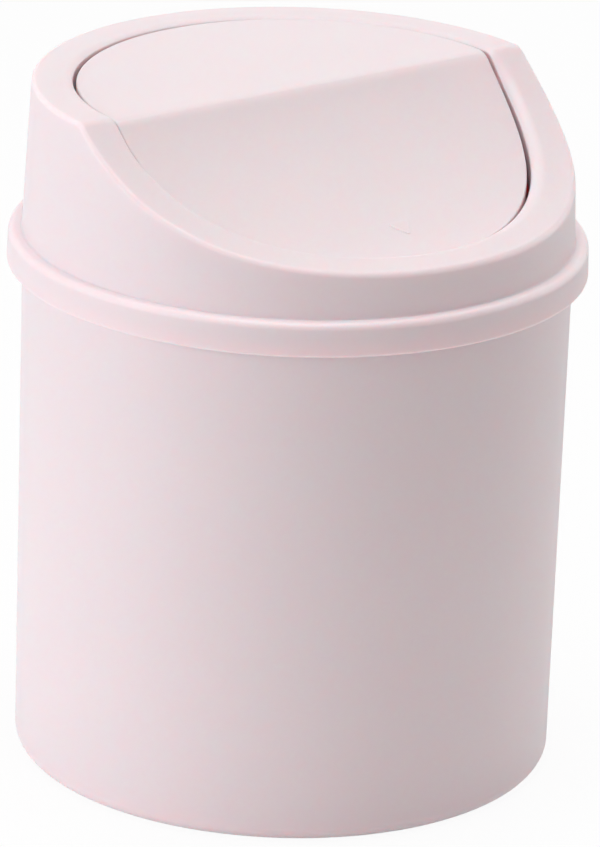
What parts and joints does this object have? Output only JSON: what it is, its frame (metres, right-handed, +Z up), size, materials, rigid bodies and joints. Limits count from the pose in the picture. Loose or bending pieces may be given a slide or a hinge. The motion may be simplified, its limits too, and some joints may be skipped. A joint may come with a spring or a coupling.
{
  "type": "countertop trash can",
  "caption": "Small round bin: plain bucket, lift-off hood with a level top and a hollow sloping front, and a round flap that swings in about a ridge and falls shut.",
  "frame": {"origin": "centre of the bucket's foot, on the surface that the bin stands on", "axes": "+Z up along the bin's own axis, -Y towards the front where the hood slopes down, X along the ridge and the flap's pivot"},
  "size_m": [0.16, 0.16, 0.1931],
  "materials": {
    "moulded_shell": "satin moulded polypropylene, pale pink",
    "pivot_pin": "smooth moulded acetal, pale pink"
  },
  "bodies": {
    "bucket": {"bucket": "moulded_shell"},
    "hood": {"hood": "moulded_shell"},
    "flap": {"flap": "moulded_shell", "pivot_pin_left": "pivot_pin", "pivot_pin_right": "pivot_pin"}
  },
  "joints": [
    {"name": "hood_lift", "type": "slide", "parent": "bucket", "child": "hood", "axis": [0, 0, 1], "range_m": [0, 0.08]},
    {"name": "flap_swing", "type": "hinge", "parent": "hood", "child": "flap", "pos_m": [0, -0.004, 0.183], "axis": [1, 0, 0], "range_deg": [0, 80]}
  ]
}
